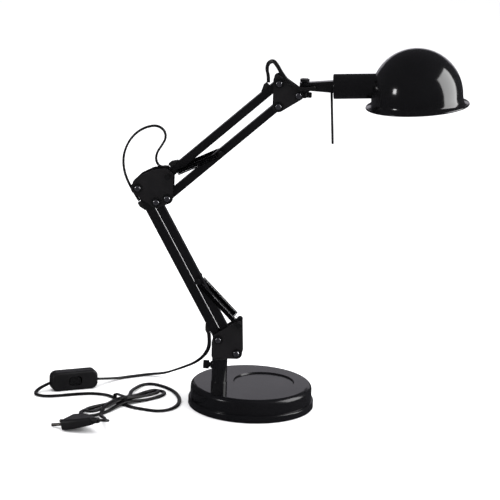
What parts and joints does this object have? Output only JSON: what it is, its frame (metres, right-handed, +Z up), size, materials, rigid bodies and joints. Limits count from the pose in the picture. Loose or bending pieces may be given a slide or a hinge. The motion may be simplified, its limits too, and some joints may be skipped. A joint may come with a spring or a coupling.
{
  "type": "swing arm desk lamp",
  "caption": "Desk lamp with a round weighted base, two parallelogram arms with tension springs, a tilting and panning dome shade, an in-line switch and a two-pin plug.",
  "frame": {"origin": "centre of the underside of the round base", "axes": "+X from the post towards the lamp head, +Y to the back, +Z up"},
  "size_m": [0.5333, 0.2483, 0.4793],
  "materials": {
    "gloss_black": "high gloss powder coat",
    "satin_black": "satin powder coat",
    "black_fastener": "satin moulded black",
    "zinc": "bright zinc plate",
    "spring_wire": "blackened spring wire",
    "black_plastic": "fine moulded texture",
    "rocker_gloss": "gloss",
    "nylon": "natural nylon",
    "grommet_rubber": "matt",
    "cord_pvc": "satin extruded",
    "plug_pin": "nickel plate",
    "brass": "plain",
    "pad_foam": "closed-cell foam",
    "ballast_iron": "rough cast"
  },
  "bodies": {
    "base": {"base_shell": "gloss_black", "base_ring": "gloss_black", "base_pad": "pad_foam", "base_ballast": "ballast_iron", "post_tube": "gloss_black", "post_collar": "gloss_black", "post_nut": "zinc", "pivot_bush": "nylon", "cord_drop": "cord_pvc", "switch_base": "black_plastic", "switch_cover": "black_plastic", "cord_floor": "cord_pvc", "cord_hank": "cord_pvc", "hank_tie": "cord_pvc", "cord_tail": "cord_pvc", "plug_body": "cord_pvc", "plug_pins": "plug_pin"},
    "thumb_screw": {"thumb_screw": "black_plastic"},
    "switch_rocker": {"switch_rocker": "rocker_gloss"},
    "turret": {"lower_bracket": "satin_black", "pivot_pin": "zinc", "lower_bolts": "zinc", "lower_nuts": "zinc", "lower_washers": "black_fastener", "bracket_spring_pin": "black_fastener"},
    "lower_left": {"lower_tube_left": "gloss_black", "lower_grommets": "grommet_rubber", "lower_inner_cord": "cord_pvc"},
    "lower_right": {"lower_tube_right": "gloss_black", "lower_spring_pin": "black_fastener", "lower_springs": "spring_wire"},
    "elbow": {"elbow_plates": "satin_black", "elbow_bolts": "zinc", "elbow_nuts": "zinc", "elbow_washers": "black_fastener", "elbow_rivet": "black_fastener", "cord_elbow": "cord_pvc"},
    "upper_low": {"upper_tube_low": "gloss_black", "upper_spring_pin": "black_fastener", "upper_springs": "spring_wire"},
    "upper_top": {"upper_tube_top": "gloss_black", "upper_grommets": "grommet_rubber", "upper_inner_cord": "cord_pvc"},
    "head_bracket": {"head_plates": "satin_black", "head_bolts": "zinc", "head_nuts": "zinc", "head_washers": "black_fastener", "cord_head": "cord_pvc"},
    "knuckle": {"knuckle": "satin_black", "pan_bolt": "black_fastener"},
    "wing_nut": {"wing_nut": "black_plastic"},
    "head": {"neck": "gloss_black", "socket_cup": "gloss_black", "lampholder": "black_plastic", "screw_shell": "brass", "centre_contact": "brass", "shade": "gloss_black", "shade_ring": "black_plastic", "handle_rod": "satin_black"}
  },
  "joints": [
    {"name": "arm_swivel", "type": "hinge", "parent": "base", "child": "turret", "pos_m": [-0.038, -0.0513, 0.06], "axis": [0, 0, 1], "range_deg": [-90, 90], "deforming": ["cord_drop"]},
    {"name": "lower_arm_tilt", "type": "hinge", "parent": "turret", "child": "lower_right", "pos_m": [-0.01695, -0.0513, 0.0853], "axis": [0, 1, 0], "range_deg": [-4, 50], "deforming": ["lower_springs", "cord_elbow"]},
    {"name": "lower_arm_follow", "type": "hinge", "parent": "turret", "child": "lower_left", "pos_m": [-0.04025, -0.0513, 0.1018], "axis": [0, 1, 0], "range_deg": [-4, 50]},
    {"name": "elbow_level", "type": "hinge", "parent": "lower_left", "child": "elbow", "pos_m": [-0.14578, -0.0513, 0.29141], "axis": [0, 1, 0], "range_deg": [-50, 4]},
    {"name": "upper_arm_tilt", "type": "hinge", "parent": "elbow", "child": "upper_low", "pos_m": [-0.109, -0.0513, 0.28], "axis": [0, 1, 0], "range_deg": [-24, 65], "deforming": ["upper_springs"]},
    {"name": "upper_arm_follow", "type": "hinge", "parent": "elbow", "child": "upper_top", "pos_m": [-0.109, -0.0513, 0.3082], "axis": [0, 1, 0], "range_deg": [-24, 65]},
    {"name": "head_level", "type": "hinge", "parent": "upper_top", "child": "head_bracket", "pos_m": [0.02372, -0.0513, 0.43024], "axis": [0, 1, 0], "range_deg": [-65, 24]},
    {"name": "head_tilt", "type": "hinge", "parent": "head_bracket", "child": "knuckle", "pos_m": [0.0478, -0.0513, 0.4166], "axis": [0, 1, 0], "range_deg": [-35, 60], "deforming": ["cord_head"]},
    {"name": "head_pan", "type": "hinge", "parent": "knuckle", "child": "head", "pos_m": [0.0542, -0.0513, 0.426], "axis": [0, 0, 1], "range_deg": [-60, 60]},
    {"name": "wing_nut_turn", "type": "hinge", "parent": "knuckle", "child": "wing_nut", "pos_m": [0.0542, -0.0513, 0.416], "axis": [0, 0, 1], "range_deg": [-45, 45]},
    {"name": "thumb_screw_turn", "type": "hinge", "parent": "base", "child": "thumb_screw", "pos_m": [-0.055, -0.0513, 0.066], "axis": [-1, 0, 0], "range_deg": [-360, 360]},
    {"name": "switch_rock", "type": "hinge", "parent": "base", "child": "switch_rocker", "pos_m": [-0.22992, 0.01876, 0.0127], "axis": [0, 0, 1], "range_deg": [0, 14]}
  ],
  "couplings": [
    {"joint": "lower_arm_follow", "follows": "lower_arm_tilt", "ratio": 1},
    {"joint": "elbow_level", "follows": "lower_arm_tilt", "ratio": -1},
    {"joint": "upper_arm_follow", "follows": "upper_arm_tilt", "ratio": 1},
    {"joint": "head_level", "follows": "upper_arm_tilt", "ratio": -1}
  ]
}
